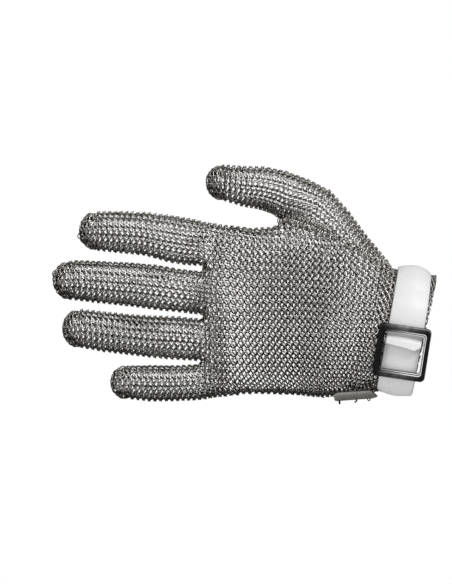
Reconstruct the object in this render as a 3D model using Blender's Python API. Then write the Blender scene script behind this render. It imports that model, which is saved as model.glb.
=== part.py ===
"""Chainmail glove for a left hand, with its wrist strap, frame buckle and edge plate.

Frame, in metres: the origin is the middle of the wrist opening. The fingers point to -X, the
thumb is up at +Z, the back of the hand faces -Y and the palm +Y. The glove has the form of the
hand that wears it and is hollow, open only at the wrist. Each run of mail is one wall here, as
thick as its rings lie, and the fingers and the thumb meet the hand with a small gap.

The tables are in millimetres. A section row holds
    x, y, z     its centre
    lean        how far its plane is turned about Y, in degrees (0 is square to X)
    wide        half its size across, in the plane of the hand
    deep        half its size from back to palm
and is a rounded oblong: squareness 2 is an ellipse, more is fuller at the corners.
"""
from collections import namedtuple
from math import copysign, cos, pi, radians, sin

import bmesh
import bpy
from mathutils import Matrix, Vector

MM = 0.001

# ---- mail ----
WALL = 2.0                  # how thick the rings lie
PIECE_GAP = 0.3             # between pieces that meet
FINGER_SIDES = 20
HAND_SIDES = 44
FINGER_SQUARENESS = 2.1
HAND_SQUARENESS = 2.65
DOME_RINGS = 5              # rings of faces in a rounded end
DOME_FLAT = 0.6             # of one more ring, left flat at the very tip
BLOCK_DEPTH = 90.0          # of the blocks that part the mail, from back to palm
FINGER_ROOT_X = -117.0      # where the finger pieces meet the hand piece
HEM_LEAN = 12.3             # the wrist opening leans with its thumb side towards the arm
ARM_RUN_OUT = 16.0          # how far the form runs on past the hem, and its hollow further
HOLLOW_RUN_OUT = 20.0

# ---- strap ----
STRAP_CENTRE = (-10.6, 0.0, 1.6)
STRAP_LEAN = 10.2
STRAP_WIDTH = 18.8
STRAP_EDGE = 1.5            # thickness along its edges
STRAP_MIDDLE = 1.9          # and along its middle
STRAP_CROWN = 1.2           # how much its middle stands up
STRAP_CROWN_THUMB = 1.3     # and how much more where it turns over the thumb side
STRAP_INNER_WIDE = 31.0     # half sizes of the loop's inner face
STRAP_INNER_DEEP = 21.8
STRAP_SQUARENESS = 2.65
STRAP_STEPS = 92
STRAP_STEP_GROWTH = 1.5     # its steps are shortest at its free end
STRAP_SIDES = (-1.0, -0.84, -0.45, 0.0, 0.45, 0.84, 1.0)     # across half its width
STRAP_EDGE_FALL = 0.6       # its outer edges are rounded down to this part of their thickness
FREE_END = -96.9            # where the strap starts, in degrees; -90 is the back of the wrist
OVERLAP = 21.0              # degrees of turn in which the start lies over the end
SETTLE_START = 22.0         # degrees from the free end where it starts to come down
SETTLE = 25.0               # degrees in which it reaches the mail
END_RISE = 3.2              # how far the free end rises onto the buckle's middle bar
END_FLAT_TURN = 1.7         # degrees for which it lies there
END_RISE_TURN = 3.8         # degrees in which it rises
LAYER_GAP = 0.35            # between the two layers

# ---- buckle ----
BUCKLE_CENTRE_X = -12.5
BUCKLE_CENTRE_Z = -9.6
BUCKLE_SEAT = -25.2         # y of its inner face at its centre
BUCKLE_LEAN = 8.1
BUCKLE_PITCH = 16.0         # turned to lie on the strap
BUCKLE_OUTER = (26.4, 27.6)
BUCKLE_INNER = (19.6, 20.2)
BUCKLE_THICK = 2.2
BUCKLE_CORNER = 2.6
BUCKLE_INNER_CORNER = 1.2
CORNER_STEPS = 5
BAR_PLACE = 5.2             # middle bar, above the frame's centre
BAR_WIDTH = 1.6
BAR_DEPTHS = (0.5, 1.3)     # of its two faces, under the frame's inner face
BAR_LEG = (9.95, 11.4)      # across, where its two legs run up into the frame
BAR_SUNK = 0.66             # how far they run into it

# ---- edge plate ----
PLATE_LENGTH = 19.4
PLATE_HEIGHT = 4.8
PLATE_NOSE = 3.0            # how far its pointed arm-side end runs on
PLATE_NOSE_DROP = 0.55      # its point is this part of the half height under the middle
PLATE_HEEL = 0.6            # how far the lower edge runs on under the nose
PLATE_THICK = 1.0
PLATE_CENTRE = (-38.4, -8.2, -31.9)
PLATE_LEAN = -4.2
PLATE_PITCH = 28.0
TAB_WIDTH = 1.5
TAB_LENGTH = 1.3
TAB_PLACES = (-17.0, -8.6, -1.2)    # along the plate's lower edge, from its arm-side corner

Section = namedtuple("Section", "x y z lean wide deep")
Finger = namedtuple("Finger", "name tip sections")

HAND = [
    #        x       y     z    lean  wide  deep
    Section(-116.2, 0.9, 12.6, 0.0, 41.5, 4.0),
    Section(-114.9, 0.9, 12.6, 0.0, 43.3, 8.5),
    Section(-112.0, 1.0, 12.6, 0.0, 45.0, 12.4),
    Section(-102.0, 1.4, 12.5, 0.0, 44.3, 15.4),
    Section(-90.0, 1.8, 12.0, 0.0, 43.4, 16.8),
    Section(-79.5, 2.2, 12.3, 0.0, 43.8, 17.8),
    Section(-73.5, 2.4, 14.0, 0.0, 45.8, 18.4),
    Section(-66.0, 2.6, 13.4, 1.0, 45.6, 18.9),
    Section(-52.0, 2.8, 9.0, 3.0, 42.5, 19.8),
    Section(-38.0, 2.2, 5.6, 6.0, 38.0, 20.6),
    Section(-28.0, 1.2, 3.9, 9.5, 34.0, 21.2),
    Section(-22.2, 0.7, 3.5, 10.0, 31.2, 21.2),
    Section(-20.3, 0.3, 3.3, 10.2, 30.2, 20.9),
    Section(-4.0, 0.1, 0.5, 11.2, 30.0, 20.8),
    Section(0.0, 0.0, 0.0, HEM_LEAN, 30.6, 21.2),
]

FINGERS = [
    Finger("mail_index_finger", -180.7, [
        Section(-100.0, 1.0, 44.8, 0.0, 11.2, 12.2),
        Section(-117.8, 1.2, 47.5, 0.0, 11.9, 11.5),
        Section(-126.0, 1.6, 48.4, 0.0, 12.5, 11.3),
        Section(-134.4, 2.2, 49.9, 0.0, 12.5, 11.3),
        Section(-146.9, 3.6, 52.3, 0.0, 11.3, 10.8),
        Section(-159.4, 5.4, 53.2, 0.0, 11.0, 10.4),
        Section(-169.5, 7.2, 53.7, 0.0, 10.3, 9.8),
    ]),
    Finger("mail_middle_finger", -194.5, [
        Section(-100.0, 1.0, 19.8, 0.0, 11.2, 12.4),
        Section(-117.8, 1.2, 21.5, 0.0, 11.3, 11.4),
        Section(-130.0, 1.6, 22.9, 0.0, 11.4, 11.2),
        Section(-140.0, 2.4, 24.3, 0.0, 11.9, 11.2),
        Section(-153.0, 4.0, 25.8, 0.0, 11.5, 10.7),
        Section(-168.0, 6.4, 26.9, 0.0, 11.1, 10.3),
        Section(-183.0, 9.2, 28.1, 0.0, 10.4, 9.7),
    ]),
    Finger("mail_ring_finger", -189.5, [
        Section(-100.0, 1.2, -3.9, 0.0, 11.2, 12.2),
        Section(-117.8, 1.6, -2.9, 0.0, 11.1, 11.2),
        Section(-130.0, 2.2, -1.95, 0.0, 11.4, 10.9),
        Section(-142.0, 3.2, -1.3, 0.0, 11.0, 10.6),
        Section(-155.0, 5.0, -0.1, 0.0, 10.6, 10.1),
        Section(-168.0, 7.2, 1.4, 0.0, 10.5, 9.9),
        Section(-178.5, 9.2, 2.9, 0.0, 10.1, 9.5),
    ]),
    Finger("mail_little_finger", -164.6, [
        Section(-98.0, 1.8, -22.0, 0.0, 10.2, 11.4),
        Section(-111.0, 2.4, -23.5, 0.0, 10.0, 10.2),
        Section(-120.0, 3.0, -25.0, 0.0, 9.4, 9.6),
        Section(-130.0, 4.0, -25.5, 0.0, 9.3, 9.3),
        Section(-143.0, 5.6, -25.6, 0.0, 9.5, 9.1),
        Section(-154.5, 7.4, -25.1, 0.0, 8.7, 8.6),
    ]),
]

THUMB_TIP = -114.6
THUMB = [
    Section(-22.0, 1.5, 16.0, 45.0, 13.5, 15.5),
    Section(-31.0, 2.5, 27.0, 49.0, 15.8, 16.5),
    Section(-42.0, 3.8, 41.0, 51.5, 15.3, 16.6),
    Section(-52.0, 5.0, 54.0, 49.0, 15.7, 15.8),
    Section(-59.5, 5.8, 63.9, 42.0, 14.8, 14.6),
    Section(-68.0, 6.4, 70.0, 31.0, 12.7, 13.2),
    Section(-76.5, 6.8, 74.0, 20.0, 11.8, 12.2),
    Section(-85.5, 7.2, 76.3, 9.0, 11.3, 11.5),
    Section(-95.0, 7.6, 77.0, 4.0, 10.5, 10.8),
    Section(-104.5, 8.0, 78.8, 7.0, 9.2, 9.8),
]

# Outlines, in the plane of the hand, of the blocks of mail that are pieces of their own.
Corner = namedtuple("Corner", "x z")
FINGER_END_X = -210.0       # past the longest finger tip
BLOCK_LOW_Z = -60.0         # past the little-finger edge
BLOCK_HIGH_Z = 100.0        # past the thumb
GAP_LINES = [
    # the line between two neighbouring fingers, at their roots and past their tips
    (Corner(FINGER_ROOT_X, 72.0), Corner(FINGER_END_X, 72.0)),
    (Corner(FINGER_ROOT_X, 34.5), Corner(FINGER_END_X, 45.5)),
    (Corner(FINGER_ROOT_X, 9.7), Corner(FINGER_END_X, 19.0)),
    (Corner(FINGER_ROOT_X, -14.3), Corner(FINGER_END_X, -13.0)),
    (Corner(FINGER_ROOT_X, BLOCK_LOW_Z), Corner(FINGER_END_X, BLOCK_LOW_Z)),
]
THUMB_ROOT = (Corner(-77.0, 60.7), Corner(-66.5, 92.0))
THUMB_UNDER = Corner(-92.0, 60.9)       # in the open gap between the thumb and the index finger
THUMB_BLOCK = [THUMB_ROOT[0], THUMB_ROOT[1], Corner(-130.0, BLOCK_HIGH_Z), Corner(-130.0, 69.0),
               THUMB_UNDER]


def clear_scene():
    for old in list(bpy.data.objects):
        bpy.data.objects.remove(old, do_unlink=True)


def material(name, colour, roughness, metallic):
    """A Principled material in one plain colour."""
    made = bpy.data.materials.new(name)
    made.use_nodes = True
    shader = made.node_tree.nodes["Principled BSDF"]
    shader.inputs["Base Color"].default_value = (*colour, 1.0)
    shader.inputs["Roughness"].default_value = roughness
    shader.inputs["Metallic"].default_value = metallic
    return made


def object_from(name, bm, finish=None):
    """The closed mesh in bm as an object, its faces turned outwards."""
    bmesh.ops.recalc_face_normals(bm, faces=bm.faces)
    mesh = bpy.data.meshes.new(name)
    bm.to_mesh(mesh)
    bm.free()
    made = bpy.data.objects.new(name, mesh)
    bpy.context.collection.objects.link(made)
    if finish is not None:
        mesh.materials.append(finish)
    return made


def guide(made):
    """Mark an object as one that only shapes others."""
    made.hide_render = True
    made.display_type = "WIRE"
    return made


def boolean(made, operation, other):
    step = made.modifiers.new(operation.lower() + "_" + other.name, "BOOLEAN")
    step.operation = operation
    step.object = other
    step.solver = "EXACT"


def rounded(angle, squareness):
    """A point of the unit rounded oblong, as (across, deep)."""
    power = 2.0 / squareness
    return (copysign(abs(cos(angle)) ** power, cos(angle)),
            copysign(abs(sin(angle)) ** power, sin(angle)))


def section_ring(bm, section, sides, squareness):
    """The vertices of one section."""
    lean = radians(section.lean)
    across = Vector((sin(lean), 0.0, cos(lean)))
    centre = Vector((section.x, section.y, section.z))
    ring = []
    for side in range(sides):
        wide, deep = rounded(2.0 * pi * side / sides, squareness)
        point = centre + across * (section.wide * wide) + Vector((0.0, section.deep * deep, 0.0))
        ring.append(bm.verts.new(point * MM))
    return ring


def inset_sections(sections, inset):
    return [s._replace(wide=s.wide - inset, deep=s.deep - inset) for s in sections]


def dome(last, tip_x):
    """Sections that round an end off, from its last full section to its tip."""
    length = last.x - tip_x
    lean = radians(last.lean)
    rings = []
    for step in range(1, DOME_RINGS + 1):
        turn = 0.5 * pi * step / (DOME_RINGS + DOME_FLAT)
        run = length * sin(turn)
        rings.append(last._replace(x=last.x - run * cos(lean), z=last.z + run * sin(lean),
                                   wide=last.wide * cos(turn), deep=last.deep * cos(turn)))
    return rings


def loft(name, sections, sides, squareness):
    """A closed solid skinned over sections, flat at both ends."""
    bm = bmesh.new()
    rings = [section_ring(bm, section, sides, squareness) for section in sections]
    for near, far in zip(rings, rings[1:]):
        for side in range(sides):
            after = (side + 1) % sides
            bm.faces.new((near[side], near[after], far[after], far[side]))
    bm.faces.new(rings[0])
    bm.faces.new(rings[-1])
    return guide(object_from(name, bm))


def tube_solid(name, sections, tip_x, inset):
    """A finger or thumb as a solid, inset all over for its hollow."""
    body = inset_sections(sections, inset)
    order = sorted(body, key=lambda s: -s.x)
    return loft(name, order + dome(order[-1], tip_x + inset), FINGER_SIDES, FINGER_SQUARENESS)


def hand_solid(name, inset, run_out):
    """The hand without fingers: its hollow starts later at the knuckles and runs on to the arm."""
    body = inset_sections(HAND, inset)
    rounded_front = [s._replace(x=s.x + inset) for s in body[:2]]
    past = body[-1]._replace(x=run_out * cos(radians(HEM_LEAN)),
                             z=-run_out * sin(radians(HEM_LEAN)))
    return loft(name, rounded_front + body[2:] + [past], HAND_SIDES, HAND_SQUARENESS)


def glove_form(label, inset, run_out):
    """Hand, fingers and thumb joined in one guide solid."""
    whole = hand_solid(label + "_hand", inset, run_out)
    tubes = [tube_solid(label + "_" + f.name, f.sections, f.tip, inset) for f in FINGERS]
    tubes.append(tube_solid(label + "_thumb", THUMB, THUMB_TIP, inset))
    for tube in tubes:
        boolean(whole, "UNION", tube)
    return whole


def prism(name, corners, finish=None):
    """A block with an outline in the plane of the hand, through the whole depth of the glove."""
    bm = bmesh.new()
    near = [bm.verts.new(Vector((c.x, -0.5 * BLOCK_DEPTH, c.z)) * MM) for c in corners]
    far = [bm.verts.new(Vector((c.x, 0.5 * BLOCK_DEPTH, c.z)) * MM) for c in corners]
    bm.faces.new(near)
    bm.faces.new(list(reversed(far)))
    for i in range(len(corners)):
        j = (i + 1) % len(corners)
        bm.faces.new((near[i], far[i], far[j], near[j]))
    return object_from(name, bm, finish)


def mail_piece(name, corners, outer, inner, finish):
    """The mail wall inside one block."""
    made = prism(name, corners, finish)
    boolean(made, "INTERSECT", outer)
    boolean(made, "DIFFERENCE", inner)
    return made


def hem_corner(across):
    """A point on the plane of the wrist opening."""
    return Corner(across * sin(radians(HEM_LEAN)), across * cos(radians(HEM_LEAN)))


def build_mail(finish):
    outer = glove_form("outer", 0.0, ARM_RUN_OUT)
    inner = glove_form("inner", WALL, HOLLOW_RUN_OUT)
    for finger, above, below in zip(FINGERS, GAP_LINES, GAP_LINES[1:]):
        roots = [c._replace(x=c.x - PIECE_GAP) for c in (above[0], below[0])]
        mail_piece(finger.name, [roots[0], above[1], below[1], roots[1]], outer, inner, finish)
    mail_piece("mail_thumb", THUMB_BLOCK, outer, inner, finish)
    gap = Vector((THUMB_ROOT[1].z - THUMB_ROOT[0].z, THUMB_ROOT[0].x - THUMB_ROOT[1].x))
    gap = gap.normalized() * PIECE_GAP
    thumb_root = [Corner(c.x + gap.x, c.z + gap.y) for c in THUMB_ROOT]
    top = THUMB_UNDER.z - PIECE_GAP
    mail_piece("mail_hand", [
        Corner(FINGER_ROOT_X, BLOCK_LOW_Z), hem_corner(BLOCK_LOW_Z), hem_corner(BLOCK_HIGH_Z),
        thumb_root[1], thumb_root[0], Corner(THUMB_UNDER.x, top), Corner(FINGER_ROOT_X, top),
    ], outer, inner, finish)


def strap_point(angle, out):
    """Where the strap's loop is at an angle round the wrist, as (across, deep).

    The angle is 0 at the thumb side and -90 degrees at the back; out is the distance from the
    loop's inner face, measured square to it.
    """
    power = 2.0 / STRAP_SQUARENESS
    across, deep = rounded(angle, STRAP_SQUARENESS)
    normal = Vector((copysign(abs(cos(angle)) ** (2.0 - power) * STRAP_INNER_DEEP, cos(angle)),
                     copysign(abs(sin(angle)) ** (2.0 - power) * STRAP_INNER_WIDE, sin(angle))))
    return Vector((STRAP_INNER_WIDE * across, STRAP_INNER_DEEP * deep)) + normal.normalized() * out


def ease(value):
    """0 to 1 with a soft start and end."""
    value = min(max(value, 0.0), 1.0)
    return value * value * (3.0 - 2.0 * value)


def strap_lift(turned):
    """How far the strap's inner face stands off the mail, a number of degrees from its free end."""
    layer = STRAP_MIDDLE + LAYER_GAP
    return (layer * (1.0 - ease((turned - SETTLE_START) / SETTLE))
            + END_RISE * (1.0 - ease((turned - END_FLAT_TURN) / END_RISE_TURN)))


def strap_profile(crown):
    """The band's section, as (side, out) pairs: a shallow trough turned over."""
    half = 0.5 * STRAP_WIDTH
    inner = [(half * side, crown * (1.0 - side * side)) for side in STRAP_SIDES]
    outer = [(half * side, rise + STRAP_EDGE + (STRAP_MIDDLE - STRAP_EDGE) * (1.0 - abs(side)))
             for side, (_, rise) in zip(STRAP_SIDES, inner)]
    outer[0] = (-half, STRAP_EDGE_FALL * STRAP_EDGE)
    outer[-1] = (half, STRAP_EDGE_FALL * STRAP_EDGE)
    return inner + list(reversed(outer))


def build_strap(finish):
    """One band of plastic wound a little more than once round the wrist.

    It starts at its free end on the buckle's middle bar, runs up over the thumb side and round
    the palm, comes back from the little-finger side, and ends hidden under its own start.
    """
    lean = radians(STRAP_LEAN)
    along_arm = Vector((cos(lean), 0.0, -sin(lean)))
    across_arm = Vector((sin(lean), 0.0, cos(lean)))
    palmwards = Vector((0.0, 1.0, 0.0))
    bm = bmesh.new()
    rings = []
    for step in range(STRAP_STEPS + 1):
        turned = (360.0 + OVERLAP) * (step / STRAP_STEPS) ** STRAP_STEP_GROWTH
        angle = radians(FREE_END + turned)
        crown = STRAP_CROWN + STRAP_CROWN_THUMB * max(cos(angle), 0.0) ** 2
        ring = []
        for side, out in strap_profile(crown):
            across, deep = strap_point(angle, strap_lift(turned) + out)
            point = Vector(STRAP_CENTRE) + along_arm * side + across_arm * across + palmwards * deep
            ring.append(bm.verts.new(point * MM))
        rings.append(ring)
    count = len(rings[0])
    for near, far in zip(rings, rings[1:]):
        for i in range(count):
            j = (i + 1) % count
            bm.faces.new((near[i], near[j], far[j], far[i]))
    bm.faces.new(rings[0])
    bm.faces.new(rings[-1])
    object_from("wrist_strap", bm, finish)


def rounded_rectangle(size, corner):
    """The outline of a rectangle with round corners, as (x, z) pairs."""
    outline = []
    for quarter in range(4):
        turn = 0.5 * pi * quarter
        sign_x = copysign(1.0, cos(turn + 0.25 * pi))
        sign_z = copysign(1.0, sin(turn + 0.25 * pi))
        for step in range(CORNER_STEPS + 1):
            angle = turn + 0.5 * pi * step / CORNER_STEPS
            outline.append((sign_x * (0.5 * size[0] - corner) + corner * cos(angle),
                            sign_z * (0.5 * size[1] - corner) + corner * sin(angle)))
    return outline


def staple(name):
    """The buckle's middle bar: a flat bar with a leg up into the frame at each end."""
    near, far = BAR_DEPTHS
    inside, outside = BAR_LEG
    outline = [(-outside, -BAR_SUNK), (-inside, -BAR_SUNK), (-inside, near), (inside, near),
               (inside, -BAR_SUNK), (outside, -BAR_SUNK), (outside, far), (-outside, far)]
    bm = bmesh.new()
    ends = [[bm.verts.new(Vector((x, y, BAR_PLACE + z)) * MM) for x, y in outline]
            for z in (-0.5 * BAR_WIDTH, 0.5 * BAR_WIDTH)]
    bm.faces.new(ends[0])
    bm.faces.new(list(reversed(ends[1])))
    for i in range(len(outline)):
        j = (i + 1) % len(outline)
        bm.faces.new((ends[0][i], ends[1][i], ends[1][j], ends[0][j]))
    return object_from(name, bm)


def build_buckle(finish):
    """A square frame over the strap's two layers, with the middle bar that the free end lies on."""
    outer = rounded_rectangle(BUCKLE_OUTER, BUCKLE_CORNER)
    inner = rounded_rectangle(BUCKLE_INNER, BUCKLE_INNER_CORNER)
    bm = bmesh.new()
    outer_low, outer_high, inner_low, inner_high = [
        [bm.verts.new(Vector((x, y, z)) * MM) for x, z in outline]
        for outline in (outer, inner) for y in (0.0, -BUCKLE_THICK)]
    for a, b in ((outer_low, outer_high), (outer_high, inner_high), (inner_high, inner_low),
                 (inner_low, outer_low)):
        for i in range(len(a)):
            j = (i + 1) % len(a)
            bm.faces.new((a[i], a[j], b[j], b[i]))
    made = object_from("buckle_frame", bm, finish)
    made.location = Vector((BUCKLE_CENTRE_X, BUCKLE_SEAT, BUCKLE_CENTRE_Z)) * MM
    made.rotation_euler = (Matrix.Rotation(radians(BUCKLE_LEAN), 3, "Y")
                           @ Matrix.Rotation(radians(BUCKLE_PITCH), 3, "X")).to_euler()
    bar = guide(staple("middle_bar"))
    bar.parent = made
    boolean(made, "UNION", bar)


def build_plate(finish):
    """A short steel strip on the little-finger side of the cuff, with three tabs bent out of it."""
    half = 0.5 * PLATE_HEIGHT
    outline = [(-PLATE_LENGTH, half), (0.0, half), (PLATE_NOSE, -PLATE_NOSE_DROP * half),
               (PLATE_HEEL, -half)]
    for place in reversed(TAB_PLACES):
        outline += [(place + 0.5 * TAB_WIDTH, -half), (place + 0.5 * TAB_WIDTH, -half - TAB_LENGTH),
                    (place - 0.5 * TAB_WIDTH, -half - TAB_LENGTH), (place - 0.5 * TAB_WIDTH, -half)]
    outline.append((-PLATE_LENGTH, -half))
    bm = bmesh.new()
    near = [bm.verts.new(Vector((x + 0.5 * PLATE_LENGTH, -0.5 * PLATE_THICK, z)) * MM)
            for x, z in outline]
    far = [bm.verts.new(Vector((x + 0.5 * PLATE_LENGTH, 0.5 * PLATE_THICK, z)) * MM)
           for x, z in outline]
    bm.faces.new(near)
    bm.faces.new(list(reversed(far)))
    for i in range(len(outline)):
        j = (i + 1) % len(outline)
        bm.faces.new((near[i], far[i], far[j], near[j]))
    made = object_from("edge_plate", bm, finish)
    made.location = Vector(PLATE_CENTRE) * MM
    made.rotation_euler = (Matrix.Rotation(radians(PLATE_LEAN), 3, "Y")
                           @ Matrix.Rotation(radians(PLATE_PITCH), 3, "X")).to_euler()


clear_scene()
build_mail(material("ring_steel", (0.62, 0.60, 0.57), 0.30, 1.0))
build_strap(material("white_plastic", (0.86, 0.86, 0.86), 0.35, 0.0))
build_buckle(material("dark_steel", (0.06, 0.06, 0.062), 0.38, 1.0))
build_plate(material("plate_steel", (0.42, 0.40, 0.37), 0.42, 1.0))
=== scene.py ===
from functools import partial, partialmethod
from math import cos, pi, radians, sin, tan

import bmesh
import bpy
import numpy as np
from mathutils import Matrix, Vector
from mathutils.bvhtree import BVHTree
from mathutils.kdtree import KDTree
from numpy.linalg import norm


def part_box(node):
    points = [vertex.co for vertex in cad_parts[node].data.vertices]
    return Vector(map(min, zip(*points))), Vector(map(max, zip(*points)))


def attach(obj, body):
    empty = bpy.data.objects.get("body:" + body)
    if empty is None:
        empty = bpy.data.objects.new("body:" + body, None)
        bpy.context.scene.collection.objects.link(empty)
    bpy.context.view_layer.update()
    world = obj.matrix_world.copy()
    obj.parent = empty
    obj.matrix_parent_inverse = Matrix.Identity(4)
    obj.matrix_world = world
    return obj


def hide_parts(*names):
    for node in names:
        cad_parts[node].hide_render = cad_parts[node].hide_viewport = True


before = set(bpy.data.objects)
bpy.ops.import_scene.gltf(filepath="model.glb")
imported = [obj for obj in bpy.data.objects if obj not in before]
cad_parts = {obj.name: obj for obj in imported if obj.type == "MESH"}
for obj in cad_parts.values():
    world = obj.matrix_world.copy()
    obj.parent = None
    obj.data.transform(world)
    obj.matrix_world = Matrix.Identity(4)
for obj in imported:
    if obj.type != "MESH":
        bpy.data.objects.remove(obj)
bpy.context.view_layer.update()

MM = 0.001

# ---- the wall that the rings lie in ----------------------
# The glove is knitted from small welded rings of stainless steel wire, each hooked through its
# four neighbours, in rows that run along the hand. Here the middle of the CAD wall is read off
# with rays from the middle of the hand, of each finger and of the thumb.

MAIL_NODES = ("mail_hand", "mail_index_finger", "mail_middle_finger", "mail_ring_finger",
              "mail_little_finger", "mail_thumb")
BACKWARDS = np.array((0.0, -1.0, 0.0))  # out of the back of the hand
THUMBWARDS = np.array((0.0, 0.0, 1.0))
ARMWARDS = np.array((1.0, 0.0, 0.0))
RAYS, LOOP_POINTS = 120, 240  # from one station, and round its loop
PAST_FACE = 1e-5  # m behind the wall's near face, where the look for its far one starts
EVEN_TIMES = 3  # how often a loop's rays are evened out

wall_points, wall_faces = [], []
for mail_node in MAIL_NODES:
    mail_mesh, first_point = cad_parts[mail_node].data, len(wall_points)
    wall_points += [v.co.copy() for v in mail_mesh.vertices]
    wall_faces += [[first_point + i for i in face.vertices] for face in mail_mesh.polygons]
wall = BVHTree.FromPolygons(wall_points, wall_faces)


def wall_distance(origin, direction):
    """How far the middle of the wall is from origin, or None."""
    start, way = Vector(origin), Vector(direction)
    near = wall.ray_cast(start, way)[0]
    far = near and wall.ray_cast(near + way * PAST_FACE, way)[0]
    return far and 0.5 * ((near - start).length + (far - start).length)


def run_along(line):
    """How far along a line each of its points is."""
    steps = norm(np.diff(line, axis=0), axis=1)
    return np.concatenate(((0,), np.cumsum(steps)))


def on_line(places, run, line):
    """Points at places along a line, given how far along its own points are."""
    return np.stack([np.interp(places, run, column) for column in line.T], -1)


def wall_loop(origin, zero, quarter, axis, rise, reach):
    """The middle of the wall round one station, as even points, and the loop's length.

    The rays turn from zero towards quarter, and rise turns them all towards axis, for a
    rounded end. A station in the narrow gap between two CAD pieces has no loop.
    """
    turns = 2 * pi * np.arange(RAYS) / RAYS
    flat = np.outer(np.cos(turns), zero) + np.outer(np.sin(turns), quarter)
    ways = flat * cos(rise) + np.outer(np.ones(RAYS), axis) * sin(rise)
    found = [wall_distance(origin, way) for way in ways]
    known = [i for i in range(RAYS) if found[i] is not None]
    if len(known) < 0.5 * RAYS:
        return None
    far = np.interp(np.arange(RAYS), known, [found[i] for i in known], period=RAYS)
    far = np.minimum(far, reach)
    for _ in range(EVEN_TIMES):
        far = 0.25 * np.roll(far, 1) + 0.5 * far + 0.25 * np.roll(far, -1)
    loop = origin + ways * far[:, None]
    closed = np.vstack((loop, loop[:1]))
    run = run_along(closed)
    return on_line(np.linspace(0, run[-1], LOOP_POINTS, endpoint=False), run, closed), run[-1]


class Sleeve:
    """A tube of wall, made of loops at stations, whose places along it are in mm.

    The stations of a rounded end come last and get theirs from how far apart they are.
    """

    def __init__(self, stations, places):
        loops = [wall_loop(*station) for station in stations]
        self.places = [place for place, loop in zip(places, loops) if loop is not None]
        loops = [loop for loop in loops if loop is not None]
        self.loops = np.array([loop for loop, _ in loops])
        self.lengths = np.array([length for _, length in loops])
        for i in range(len(self.places), len(loops)):
            gap = norm(self.loops[i] - self.loops[i - 1], axis=1).mean()
            self.places.append(self.places[-1] - gap / MM)
        if self.places[0] > self.places[-1]:
            self.loops, self.lengths = self.loops[::-1], self.lengths[::-1]
            self.places = self.places[::-1]
        self.places = np.array(self.places)

    def length(self, place):
        return np.interp(place, self.places, self.lengths)

    def point(self, place, part):
        """The point at a place along and a share of the way round."""
        low = int(np.searchsorted(self.places, place)) - 1
        low = min(max(low, 0), len(self.places) - 2)
        mix = (place - self.places[low]) / (self.places[low + 1] - self.places[low])
        turn = (part % 1) * LOOP_POINTS
        i, slide = int(turn) % LOOP_POINTS, turn - int(turn)
        pair = self.loops[low:low + 2]
        near, far = pair[:, i] * (1 - slide) + pair[:, (i + 1) % LOOP_POINTS] * slide
        return near * (1 - mix) + far * mix


def smoothstep(value):
    value = min(max(value, 0), 1)
    return value * value * (3 - 2 * value)


# ---- the rows of the hand --------------------------------
# The hand is one tube of mail from the knuckles down to the hem under the strap, 88 rows round
# at the knuckles and 66 at the strap. It lies loose and even over the back, and is bunched up
# at the knuckles and in front of the strap.

HAND_LINE = np.array((
    # x, y, z of the middle of the hand in mm, and its section's lean in degrees
    (-112, 1, 12.6, 0), (-66, 2.4, 11.8, 0), (-52, 2.8, 9, 3),
    (-38, 2.2, 5.6, 6), (-28, 1.2, 3.9, 9.5), (-20, 0.3, 3.3, 10.2),
    (0, 0, 0, 12.3),
))
STATION_STEP = 1.5
HAND_ROWS, CUFF_ROWS = 88, 66
ROW_OFFSET = 0.5  # rows that the first row of the back lies from the edge
HAND_REACH = 60 * MM
THUMB_FORK = -81  # the arm side of this station is open towards the thumb
CUFF_START = -17  # and from this station on it is closed again
ROWS_ENDED = np.array((
    # x in mm, and how many rows have ended at either side of the little-finger edge by there,
    # or have begun where it is negative
    (-110, 0), (-80, -0.5), (-55, -1.4), (-35, -1.2), (-25, -0.1), (-15, 0.3),
))
ROWS_CROWDED = np.array((
    # x in mm, and how much closer the rows lie there towards the thumb
    (-98, 0), (-80, 0.09), (-60, 0.17), (-45, 0.20), (-25, 0.12), (-17, 0),
))
CROWDED_FROM, CROWDED_FADE = 18, 4  # rows from the edge where that starts
EDGE_CLEAR = 0.3 * MM
PALM_BEHIND = np.array((
    # x in mm, and how far the rings of the palm lie there just behind the gaps of the back
    (-115, 0), (-109, 1), (-20, 1), (-12, 0),
))
BEHIND_ROWS = 5.5  # rows from either edge in which that begins
BEHIND_SLIDE, BEHIND_DROP = 0.5, 0.65  # pitches armwards and rows down from the back's own
BAND_PITCH = np.array((
    # x in mm, and the pitch of the rings along a row there
    (-200, 2.9), (-132, 2.95), (-122, 2.75), (-110, 2.75), (-100, 3.15),
    (-84, 3.2), (-66, 3.05), (-50, 2.85), (-37, 2.7), (-30, 2.5),
    (-22, 2), (-16, 2.4), (0, 2.4),
))
GATHERS = (
    # x, z, half length and half height in mm of a bunched patch, and how much closer it lies
    (-111, 42, 5, 5, 0.22), (-115.5, 21.5, 9, 9.5, 0.38),
    (-111, -4, 8, 8, 0.34), (-109, -23, 7, 6, 0.26),
)
HEM_BAND = -5.4  # x in mm of the rows' first rings
HEM_INSET = -0.3  # x in mm of the last station, just inside the hem's edge
CUFF_BAG = np.array((
    # x in mm, and how far the little-finger edge hangs there
    (-40, 0), (-30, 2.2), (-24, 3.4), (-16, 2.6), (-8, 1), (0, 0.6),
))


def at(place, table, column=1):
    """A column of a table at a place between its rows, which start with theirs."""
    return np.interp(place, table[:, 0], table[:, column])


def leaning(degrees):
    """The ways thumbwards and armwards in a section that leans."""
    turn = radians(degrees)
    return np.array((sin(turn), 0, cos(turn))), np.array((cos(turn), 0, -sin(turn)))


def hand_station(x):
    y, z, lean = (at(x, HAND_LINE, column) for column in (1, 2, 3))
    across, axis = leaning(lean)
    return np.array((x, y, z)) * MM, -across, BACKWARDS, axis, 0, HAND_REACH


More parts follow.
